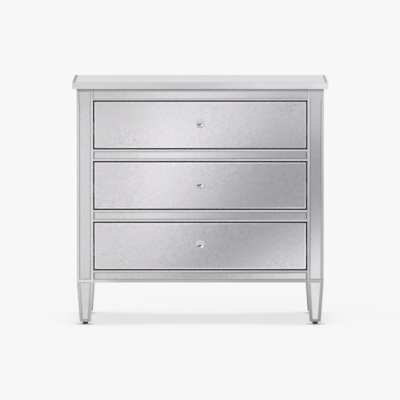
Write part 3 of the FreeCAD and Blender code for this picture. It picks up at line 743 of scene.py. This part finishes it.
# %% [markdown]
# ## Knobs
#
# A clear ball sits in the cup of a small base that is turned from metal. Seen through the ball, its
# seat fills the whole of it, because a ball of glass magnifies what touches its back: what we see in
# the knob is the polished seat, and in that the room. So the seat must be a real flat on a real ball,
# a hair away from the metal. If the two faces lay in one plane, Blender could not tell which of them
# a ray meets first, and the ball would turn black.

# %% Knobs
SEAT_GAP = 0.0002
RIM_ROUND = 0.0006
FOOT_SHARE, WAIST_SHARE, CUP_SHARE = 0.22, 0.56, 0.78
OUTWARD = Vector((0, -1, 0))
DRAWERS = ("lower", "middle", "upper")


def ball_outline(radius, centre, seat):
    """A ball with a flat where it sits."""
    seat_angle = -math.degrees(math.asin((centre - seat) / radius))
    return [(0, seat)] + arc((0, centre), radius, seat_angle, 90)


def base_outline(radius, height):
    """A round-edged foot, a hollow waist and a cup."""
    foot_height, waist, cup = height * FOOT_SHARE, radius * WAIST_SHARE, radius * CUP_SHARE
    shares = [number / ARC_STEPS for number in range(ARC_STEPS)]
    hollow = [(cup - (cup - waist) * math.sin(math.pi * share),
               foot_height + (height - foot_height) * share) for share in shares]
    foot = arc((radius - RIM_ROUND, RIM_ROUND), RIM_ROUND, -90, 0)
    foot += arc((radius - RIM_ROUND, foot_height - RIM_ROUND), RIM_ROUND, 0, 90)
    lip = arc((cup - RIM_ROUND, height - RIM_ROUND), RIM_ROUND, 0, 90)
    return [(0, 0)] + foot + hollow + lip + [(0, height)]


for name in DRAWERS:
    ball_box, base_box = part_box(f"{name}_drawer_knob"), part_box(f"{name}_drawer_knob_base")
    foot = (base_box[0] + base_box[1]) / 2
    foot.y = base_box[1].y
    ball_radius, base_radius = ((high.x - low.x) / 2 for low, high in (ball_box, base_box))
    base_height = base_box[1].y - base_box[0].y
    ball = ball_outline(ball_radius, foot.y - ball_box[0].y - ball_radius, base_height + SEAT_GAP)
    stand_for(turned(f"{name}_glass_ball", ball, [foot], OUTWARD), f"{name}_drawer_knob", f"{name}_drawer")
    base = base_outline(base_radius, base_height)
    stand_for(turned(f"{name}_knob_base", base, [foot], OUTWARD),
              f"{name}_drawer_knob_base", f"{name}_drawer")

# %% [markdown]
# ## Glides
#
# Under each leg is a moulded black button on a nail. It is a shallow bowl with a flat sole, so that it
# slides. The bowl's side is a quarter of an ellipse: a unit arc, stretched to the bowl's own width and
# height. The record's mounts say where the four soles are.

# %% Glides
SOLE_SHARE, BOWL_SHARE = 0.40, 0.84
GLIDE_ROUND = 0.0015
UP = Vector((0, 0, 1))

mounts = frame["record"]["mounts"]
soles = [Vector(mount["pos_m"]) for mount in mounts if mount["name"].startswith("foot_")]
glide_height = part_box("front_leg_left")[0].z
glide_radius = min(sole.x for sole in soles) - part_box("foot_glides")[0].x
sole_radius, bowl_height = SOLE_SHARE * glide_radius, BOWL_SHARE * glide_height
bowl = [(sole_radius + (glide_radius - sole_radius) * across, bowl_height * (1 + up))
        for across, up in arc((0, 0), 1, -90, 0)]
rim = arc((glide_radius - GLIDE_ROUND, glide_height - GLIDE_ROUND), GLIDE_ROUND, 0, 90)
glide = [(0, 0)] + bowl + rim + [(0, glide_height)]
stand_for(turned("floor_glides", glide, soles, UP), "foot_glides", "carcass")

# %% [markdown]
# ## Where the screws and slides are
#
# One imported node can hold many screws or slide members. Their places could be written down again, but
# they are in the node's mesh already: each solid is an island of points that edges join. Walking along
# the edges finds the islands, and the box of each one says where the finer piece goes.

# %% Boxes of the solids in a node
TOUCHING = 1e-6


def solids(node):
    """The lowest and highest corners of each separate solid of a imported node."""
    build = bmesh.new()
    build.from_mesh(nodes[node].data)
    bmesh.ops.remove_doubles(build, verts=build.verts, dist=TOUCHING)
    seen, boxes = set(), []
    for start in build.verts:
        if start in seen:
            continue
        seen.add(start)
        island = [start]
        for point in island:
            near = [edge.other_vert(point) for edge in point.link_edges]
            fresh = [other for other in near if other not in seen]
            seen.update(fresh)
            island += fresh
        corners = [point.co for point in island]
        boxes.append((Vector(map(min, zip(*corners))), Vector(map(max, zip(*corners)))))
    build.free()
    return boxes


print("the top is held by", len(solids("top_screws")), "screws")

# %% [markdown]
# ## Screws
#
# Inside each drawer, four screws and the knob's bolt show their pan heads. A pan head is turned, with a
# domed edge, and then a punch presses a cross into its flat. The cross can't be turned, so it is an
# outline in the flat: the faces between rim and cross are filled with triangles, and walls go down from
# the cross to a smaller one at the bottom, because a real punch tapers.

# %% Screws
HEAD_HEIGHT, HEAD_EDGE = 0.003, 0.0003
HEAD_FLAT_SHARE, HEAD_DOME_SHARE = 0.68, 0.6
DOME_STEPS, SCREW_STEPS = 8, 32
SHANK_RADIUS, TIP_LENGTH = 0.002, 0.004
CROSS_ARM, CROSS_REACH = 0.0005, 0.0021
CROSS_DEPTH, CROSS_TAPER = 0.0016, 0.6


def filled(build, *loops):
    """Triangles over a flat outline, with the other loops as holes in it."""
    edges = []
    for loop in loops:
        for number in range(len(loop)):
            ends = loop[number - 1], loop[number]
            edges.append(build.edges.get(ends) or build.edges.new(ends))
    bmesh.ops.triangle_fill(build, use_beauty=True, edges=edges)


def cross(arm, reach):
    """The twelve corners of a cross."""
    quarter = [(arm, reach), (arm, arm), (reach, arm)]
    corners = []
    for _ in range(4):
        corners += quarter
        quarter = [(up, -across) for across, up in quarter]
    return corners


def screw(build, box, along):
    """A pan-head screw that fills a box and is driven along a direction."""
    low, high = box
    length = abs(along.dot(high - low))
    head = (low + high) / 2 - along * (length / 2)
    radius = min(high - low) / 2
    flat = radius * HEAD_FLAT_SHARE
    outline = [(flat + (radius - flat) * across, HEAD_DOME_SHARE * HEAD_HEIGHT * (1 - up))
               for across, up in arc((0, 0), 1, 90, 0, DOME_STEPS)]
    outline += [(radius, HEAD_HEIGHT - HEAD_EDGE), (radius - HEAD_EDGE, HEAD_HEIGHT)]
    outline += [(SHANK_RADIUS, HEAD_HEIGHT), (SHANK_RADIUS, length - TIP_LENGTH), (0, length)]
    rim = turn(build, outline, head, along, SCREW_STEPS)
    side = along.orthogonal().normalized()
    other = along.cross(side)
    corners = [side * across + other * up for across, up in cross(CROSS_ARM, CROSS_REACH)]
    mouth = [build.verts.new(head + corner) for corner in corners]
    deep = head + along * CROSS_DEPTH
    bottom = [build.verts.new(deep + corner * CROSS_TAPER) for corner in corners]
    filled(build, rim, mouth)
    band(build, mouth, bottom)
    filled(build, bottom)


def screws(name, node, body, along):
    """The screws of a node, as one piece."""
    build = bmesh.new()
    for box in solids(node):
        screw(build, box, along)
    stand_for(made(name, build), node, body)


screws("top_board_screws", "top_screws", "carcass", UP)
for name in DRAWERS:
    screws(f"{name}_front_screws", f"{name}_drawer_screws", f"{name}_drawer", OUTWARD)

# %% [markdown]
# ## Rolled channels
#
# Each drawer hangs on two telescopic slides. A slide has three channels rolled from steel strip: one on
# the case, one on the drawer and one between them. A channel could be a box with a groove, but a rolled
# bend is round outside and inside, so it is drawn as an outline with arcs and pulled along its length.
# Its web has the slots that the screws go through, filled round them like the screw heads.

# %% Rolled channels
STRIP, BEND = 0.0012, 0.0024
BEND_STEPS = 6


def slot(middle, level, half_length, radius):
    """The outline of a slot in a web, as points (along, up)."""
    front = arc((middle - half_length, level), radius, 90, 270, BEND_STEPS)
    back = arc((middle + half_length, level), radius, -90, 90, BEND_STEPS)
    return front + back


def section(depth, half):
    """Half of a channel's outline, from the web out to the lip and back, as points (out, up)."""
    outline = arc((BEND, half - BEND), BEND, 180, 90, BEND_STEPS)
    outline += arc((depth - STRIP / 2, half - STRIP / 2), STRIP / 2, 90, -90, BEND_STEPS)
    return outline + arc((BEND, half - BEND), BEND - STRIP, 90, 180, BEND_STEPS)


def channel(build, box, web_outside, slots):
    """A rolled channel that fills a box, with its web away from the drawer or against it."""
    low, high = box
    outer, inner = sorted((low.x, high.x), key=abs, reverse=True)
    web, lip = (outer, inner) if web_outside else (inner, outer)
    level, half = (low.z + high.z) / 2, (high.z - low.z) / 2
    way = math.copysign(1, lip - web)
    flank = section(abs(lip - web), half)
    outline = flank + [(out, -up) for out, up in reversed(flank)]
    rows = [[build.verts.new((web + way * out, y, level + up)) for out, up in outline]
            for y in (low.y, high.y)]
    webs = (0, len(flank))
    holes = []
    for number in range(len(outline)):
        corners = [rows[0][number - 1], rows[0][number], rows[1][number], rows[1][number - 1]]
        if number not in webs:
            build.faces.new(corners)
            continue
        x = web + way * outline[number][0]
        loops = [slot(low.y + share * (high.y - low.y), level, *size) for share, *size in slots]
        holes.append([[build.verts.new((x, *point)) for point in loop] for loop in loops])
        filled(build, corners, *holes[-1])
    for one, other in zip(*holes):
        band(build, one, other)
    for row in rows:
        filled(build, row)


print("channels rolled from strip of", STRIP, "m")

# %% [markdown]
# ## Slides with their balls
#
# Balls in thin steel cages run between the lips of the channels, above and below. They are seen only
# along the edges of an open drawer, and a plain bar might do there, but a row of balls catches the
# light in a way that a bar doesn't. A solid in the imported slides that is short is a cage, and a long
# one is a channel. A slot is given by its place along the channel as a share of the length, half the
# length of its straight part, and the radius of its ends.

# %% Slides with their balls
SCREW_SLOTS = ((0.05, 0.002, 0.0023), (0.13, 0.0005, 0.0025), (0.34, 0.003, 0.0023),
               (0.36, 0.0005, 0.0025), (0.64, 0.003, 0.0023), (0.66, 0.0005, 0.0025),
               (0.87, 0.0005, 0.0025), (0.95, 0.002, 0.0023))
ACCESS_SLOTS = ((0.10, 0.004, 0.0055), (0.35, 0.010, 0.0055),
                (0.65, 0.010, 0.0055), (0.90, 0.004, 0.0055))
CAGE_PLATE = 0.0007
CAGE_BALLS = 10
CAGE_LIMIT_SHARE = 0.5
BALL_PLAY, HOLE_PLAY = 0.0001, 0.0001
HOLE_STEPS = 8


def ball_cage(build, box):
    """A cage strip with its balls, in a box."""
    low, high = box
    middle, radius = (low + high) / 2, (high.z - low.z) / 2 - BALL_PLAY
    places = [low.y + (number + 0.5) * (high.y - low.y) / CAGE_BALLS for number in range(CAGE_BALLS)]
    loops = [[(low.x, low.y), (high.x, low.y), (high.x, high.y), (low.x, high.y)]]
    loops += [arc((middle.x, y), radius + HOLE_PLAY, 0, 360, HOLE_STEPS)[:-1] for y in places]
    faces = []
    for z in (middle.z - CAGE_PLATE / 2, middle.z + CAGE_PLATE / 2):
        faces.append([[build.verts.new((x, y, z)) for x, y in loop] for loop in loops])
        filled(build, *faces[-1])
    for one, other in zip(*faces):
        band(build, one, other)
    ball = arc((0, radius), radius, -90, 90, BEND_STEPS)
    for y in places:
        turn(build, ball, Vector((middle.x, y, middle.z - radius)), UP, 2 * BEND_STEPS)


def slide_members(name, node, body, web_outside, slots):
    """The slide members of a node, as one piece."""
    boxes = solids(node)
    longest = max(high.y - low.y for low, high in boxes)
    build = bmesh.new()
    for low, high in boxes:
        if high.y - low.y < CAGE_LIMIT_SHARE * longest:
            ball_cage(build, (low, high))
        else:
            channel(build, (low, high), web_outside, slots)
    stand_for(made(name, build), node, body)


slide_members("case_slide_channels", "slide_cabinet_members", "carcass", True, SCREW_SLOTS)
for name in DRAWERS:
    slide_members(f"{name}_middle_channels", f"{name}_slide_middles", f"{name}_slides",
                  True, ACCESS_SLOTS)
    slide_members(f"{name}_drawer_channels", f"{name}_drawer_runners", f"{name}_drawer",
                  False, SCREW_SLOTS)

# %% [markdown]
# ## Camera
#
# The chest was photographed from far away with a long lens, a little above its middle: its sides
# hardly close in, and only a sliver of the top shows. Distance, height, tilt and lens come from
# matching the edges of the top, the drawers and the feet in the picture.

# %% Camera
CAMERA_DISTANCE = 20.013
CAMERA_HEIGHT = 2.082
CAMERA_TILT = math.radians(4.668)
CAMERA_SIDESTEP = -0.0009
LENS = 506.0

camera = bpy.data.objects.new("camera", bpy.data.cameras.new("camera"))
camera.data.lens = LENS
camera.data.clip_end = 10 * CAMERA_DISTANCE
camera.location = (CAMERA_SIDESTEP, front_face - CAMERA_DISTANCE, CAMERA_HEIGHT)
camera.rotation_euler = (math.pi / 2 - CAMERA_TILT, 0, 0)
bpy.context.collection.objects.link(camera)
bpy.context.scene.camera = camera
bpy.context.scene.view_settings.view_transform = "Standard"
print("camera at", [round(value, 3) for value in camera.location])

# %% [markdown]
# ## Floor
#
# The chest stands on a wide pale floor. Lit by the room alone it would come out greyer than the
# backdrop, so it glows for the camera and for reflections. The glow is dimmed where the chest is close
# above, and most of all right under the glides. The share of the floor that doesn't glow takes the
# lamp's own shadow.

# %% Floor
PALE = 0.935
GLOW_SHARE = 0.92
SHADE_REACH, SHADE_DEPTH = 1.25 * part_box("lower_drawer_bottom")[0].z, 0.14
SHADE_LIMITS = 0.16, 0.34
CONTACT_REACH, CONTACT_FLOOR = 0.020, 0.4
OCCLUSION_SAMPLES = 32
FLOOR_REACH = 60.0
SEEN_RAYS = ("Is Camera Ray", "Is Glossy Ray", "Is Transmission Ray")


def grey(level):
    """A plain grey, as a colour."""
    return (level, level, level, 1.0)


def seen_directly(tree):
    """1 for what the camera sees, straight or in a mirror or through glass."""
    return largest(tree, *(tree.add("ShaderNodeLightPath", output=ray) for ray in SEEN_RAYS))


def staged_material(name, surface):
    """A material of the studio, from a function that gives its shader."""
    material = bpy.data.materials.new(name)
    material.use_nodes = True
    material.cycles.emission_sampling = "NONE"
    tree = Tree(material.node_tree)
    tree.add("ShaderNodeOutputMaterial", sockets={"Surface": surface(tree)})
    return material


def sheet(name, corners, material):
    """A flat four-cornered sheet of the studio."""
    mesh = bpy.data.meshes.new(name)
    mesh.from_pydata(corners, [], [range(len(corners))])
    mesh.materials.append(material)
    piece = bpy.data.objects.new(name, mesh)
    bpy.context.collection.objects.link(piece)
    return piece


def openness(tree, reach):
    """1 where nothing lies within reach above the floor, and less where something does."""
    return tree.add("ShaderNodeAmbientOcclusion", {"samples": OCCLUSION_SAMPLES}, {"Distance": reach}, "AO")


def pale_floor(tree):
    under = step(tree, 1 - openness(tree, SHADE_REACH), *SHADE_LIMITS)
    contact = openness(tree, CONTACT_REACH)
    dimmed = (1 - under * SHADE_DEPTH) * (CONTACT_FLOOR + contact * contact * (1 - CONTACT_FLOOR))
    glow = tree.add("ShaderNodeEmission", sockets={"Color": shade(tree, grey(PALE)[:3], dimmed)})
    matt = tree.add("ShaderNodeBsdfDiffuse", sockets={"Color": grey(PALE)})
    glowing = seen_directly(tree) * GLOW_SHARE
    return tree.add("ShaderNodeMixShader", sockets={0: glowing, 1: matt, 2: glow})


floor_corners = [(-FLOOR_REACH, -FLOOR_REACH, 0), (FLOOR_REACH, -FLOOR_REACH, 0),
                 (FLOOR_REACH, FLOOR_REACH, 0), (-FLOOR_REACH, FLOOR_REACH, 0)]
sheet("floor", floor_corners, staged_material("pale_floor", pale_floor))
print("floor", 2 * FLOOR_REACH, "m across")

# %% [markdown]
# ## Room and lamp
#
# An even room light fills the shadows, and one very large soft lamp from the front left gives wood and
# paint some shape. Several small lamps could do that too, but each would show as a spot in the plates.
# This one isn't seen in mirrors or glass. There the room is a little darker overhead than at the
# horizon, and to the camera it is the pale backdrop.

# %% Room and lamp
ROOM_LIGHT = 0.74
HORIZON, ZENITH, ZENITH_RISE = 0.775, 0.60, 0.6
ROOM_TINT = (1.003, 1.0, 1.022)
LAMP_STRENGTH = 0.9
LAMP_ANGLE = math.radians(80)
LAMP_LEAN, LAMP_TURN = math.radians(42), math.radians(-32)

world = bpy.data.worlds.new("room")
world.use_nodes = True
bpy.context.scene.world = world
tree = Tree(world.node_tree)
rise = axes(tree, tree.add("ShaderNodeTexCoord", output="Generated"))[UPRIGHT]
mirrored = HORIZON + (ZENITH - HORIZON) * step(tree, rise, 0.0, ZENITH_RISE)
colour = mix(tree, seen_directly(tree), grey(ROOM_LIGHT), shade(tree, ROOM_TINT, mirrored))
colour = mix(tree, tree.add("ShaderNodeLightPath", output="Is Camera Ray"), colour, grey(PALE))
background = tree.add("ShaderNodeBackground", sockets={"Color": colour})
tree.add("ShaderNodeOutputWorld", sockets={"Surface": background})

lamp = bpy.data.objects.new("soft_lamp", bpy.data.lights.new("soft_lamp", "SUN"))
lamp.data.energy = LAMP_STRENGTH
lamp.data.angle = LAMP_ANGLE
lamp.rotation_euler = (LAMP_LEAN, 0, LAMP_TURN)
lamp.visible_glossy = False
lamp.visible_transmission = False
bpy.context.collection.objects.link(lamp)
print("room light", ROOM_LIGHT, "and a soft lamp of", LAMP_STRENGTH)

# %% [markdown]
# ## A card in front
#
# Mirrors show the room, and a room that is all one white makes them look like grey paint. A
# photographer stands a card in front: pale, with a soft dark zone, so that the plates show a soft
# dark sweep up to the right and stay bright on the left. The sweep could be painted on the plates, but
# then it would stay there from every side. The card is seen only in reflections and fades out towards
# its own edges. Its zones are given in metres on the chest's front, about where the camera sees them.

# %% A card in front
CARD_DISTANCE = 0.9
CARD_HALF_WIDTH = 1.3
CARD_HEIGHT, CARD_FOOT = 1.3, 0.005
CARD_FADE = 0.35
CARD_DROP = CARD_DISTANCE * math.tan(CAMERA_TILT)
CARD_LEVEL = 1.065
CARD_TINT, SWEEP_TINT = (1.0, 1.0, 1.012, 1.0), (0.985, 1.0, 1.04, 1.0)
UPPER_LINE, UPPER_LIMITS = ((-0.17, 0.18), (0.178, 0.83)), (-0.195, 0.243)
LOWER_LINE, LOWER_LIMITS = ((0.42, 0.32), (0.185, 0.19)), (-0.175, 0.135)
SWEEP_DEPTH, SWEEP_HEAD, SWEEP_HEAD_LIFT = 0.585, (0.57, 0.86), 0.46
LEFT_LIMITS, LEFT_DEPTH = (-0.33, -0.10), 0.20
TOP_LIMITS, TOP_DEPTH = (0.70, 0.86), 0.125
BOTTOM_LIMITS, BOTTOM_DEPTH = (0.15, 0.21), 0.09
CORNER_ACROSS, CORNER_UP, CORNER_LIFT = (0.33, 0.45), (0.62, 0.80), 0.14


def across_line(across, up, start, end):
    """How far a point lies to the right of a line."""
    run, climb = end[0] - start[0], end[1] - start[1]
    length = math.hypot(run, climb)
    return (across - start[0]) * (climb / length) - (up - start[1]) * (run / length)


def faded_glow(tree, colour, across, up, half_width):
    """A glow that fades out towards the sides and the top of a card."""
    glow = tree.add("ShaderNodeEmission", sockets={"Color": colour})
    fade = 1 - step(tree, abs(across), half_width - CARD_FADE, half_width)
    fade = fade * (1 - step(tree, up, CARD_HEIGHT - CARD_FADE, CARD_HEIGHT))
    clear = tree.add("ShaderNodeBsdfTransparent")
    return tree.add("ShaderNodeMixShader", sockets={0: fade, 1: clear, 2: glow})


def front_card(tree):
    x, _, z = axes(tree, place(tree))
    up = z + CARD_DROP
    upper = step(tree, across_line(x, up, *UPPER_LINE), *UPPER_LIMITS)
    lower = step(tree, across_line(x, up, *LOWER_LINE), *LOWER_LIMITS)
    sweep = upper * lower * (1 - step(tree, up, *SWEEP_HEAD) * SWEEP_HEAD_LIFT)
    left = 1 - step(tree, x, *LEFT_LIMITS)
    top = step(tree, up, *TOP_LIMITS)
    bottom = 1 - step(tree, up, *BOTTOM_LIMITS)
    corner = step(tree, x, *CORNER_ACROSS) * step(tree, up, *CORNER_UP)
    level = CARD_LEVEL - sweep * SWEEP_DEPTH - left * LEFT_DEPTH - top * TOP_DEPTH
    level = level + corner * CORNER_LIFT - bottom * BOTTOM_DEPTH
    colour = shade(tree, mix(tree, sweep, CARD_TINT, SWEEP_TINT), level)
    return faded_glow(tree, colour, x, z, CARD_HALF_WIDTH)


def card(name, corners, surface, seen_in):
    """A card that is seen in one kind of ray only, glossy or transmission."""
    piece = sheet(name, corners, staged_material(name, surface))
    piece.visible_camera = False
    piece.visible_diffuse = False
    piece.visible_shadow = False
    piece.visible_glossy = seen_in == "glossy"
    piece.visible_transmission = seen_in == "transmission"
    print("card", name, "from", [round(value, 2) for value in corners[0]], "to",
          [round(value, 2) for value in corners[2]])


def standing(start, end):
    """The corners of an upright card between two places on the floor."""
    return [(*start, CARD_FOOT), (*end, CARD_FOOT), (*end, CARD_HEIGHT), (*start, CARD_HEIGHT)]


card_y = front_face - CARD_DISTANCE
front_corners = standing((-CARD_HALF_WIDTH, card_y), (CARD_HALF_WIDTH, card_y))
card("front_card", front_corners, front_card, "glossy")

# %% [markdown]
# ## Cards at the sides
#
# The side plates would show the empty room from most places, so a card on each side does for them what
# the front card does for the drawers: it is pale, with one soft dark sweep. One card could be mirrored
# to the other side with a modifier. A loop over the two sides says the same in fewer words.

# %% Cards at the sides
SIDE_DISTANCE = 0.5
SIDE_HALF_WIDTH = 0.9
SIDE_LEVEL, SIDE_SWEEP_DEPTH = 1.0, 0.5
SIDE_LINE = (-0.25, 0.1), (0.15, 0.8)
SIDE_START, SIDE_END = (-0.28, 0.02), (0.04, 0.42)


def side_card(tree):
    _, y, z = axes(tree, place(tree))
    beside = across_line(y, z, *SIDE_LINE)
    sweep = step(tree, beside, *SIDE_START) * (1 - step(tree, beside, *SIDE_END))
    tint = mix(tree, sweep, CARD_TINT, SWEEP_TINT)
    return faded_glow(tree, shade(tree, tint, SIDE_LEVEL - sweep * SIDE_SWEEP_DEPTH), y, z, SIDE_HALF_WIDTH)


for name, x in (("left_card", body_left - SIDE_DISTANCE), ("right_card", body_right + SIDE_DISTANCE)):
    card(name, standing((x, -SIDE_HALF_WIDTH), (x, SIDE_HALF_WIDTH)), side_card, "glossy")

# %% [markdown]
# ## Two cards for the glass
#
# A ball on a polished seat throws light back the way it came, so each knob shows what stands round
# the camera: a dark band where the camera and its stand are, and beside it one bright lamp. Two small
# cards far in front stand for them. They are seen only through glass, so the flat mirrors and the
# floor don't know of them. Their places and sizes are angles in degrees, seen from the middle knob.

# %% Cards for the glass
GLASS_CARD_DISTANCE = 19.0
BAND_LEVEL, BAND_PLACE, BAND_SIZE, BAND_TILT = 0.15, (4.1, 3.4), (25.0, 9.0), 14.0
LAMP_LEVEL, LAMP_PLACE, LAMP_SIZE, LAMP_TILT = 2.6, (-10.0, 8.2), (13.0, 4.5), 36.0


def glass_card(name, level, middle, size, tilt):
    """A card seen only through glass."""
    knob_height = sum(corner.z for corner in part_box("middle_drawer_knob")) / 2
    half_width, half_height = size[0] / 2, size[1] / 2
    straight, lean = math.cos(math.radians(tilt)), math.sin(math.radians(tilt))
    corners = []
    for across, up in ((-half_width, -half_height), (half_width, -half_height),
                       (half_width, half_height), (-half_width, half_height)):
        angles = middle[0] + across * straight - up * lean, middle[1] + across * lean + up * straight
        x, z = (GLASS_CARD_DISTANCE * math.tan(math.radians(angle)) for angle in angles)
        corners.append((x, front_face - GLASS_CARD_DISTANCE, knob_height + z))

    def glow(tree):
        return tree.add("ShaderNodeEmission", sockets={"Color": grey(1.0), "Strength": level})

    card(name, corners, glow, "transmission")


glass_card("dark_band", BAND_LEVEL, BAND_PLACE, BAND_SIZE, BAND_TILT)
glass_card("lamp_card", LAMP_LEVEL, LAMP_PLACE, LAMP_SIZE, LAMP_TILT)

# %% [markdown]
# ## Size and finish
#
# The looks must not change the measures. The box of the imported chest was taken when it was loaded,
# and this cell only imports json.

# %% Size and finish
import json
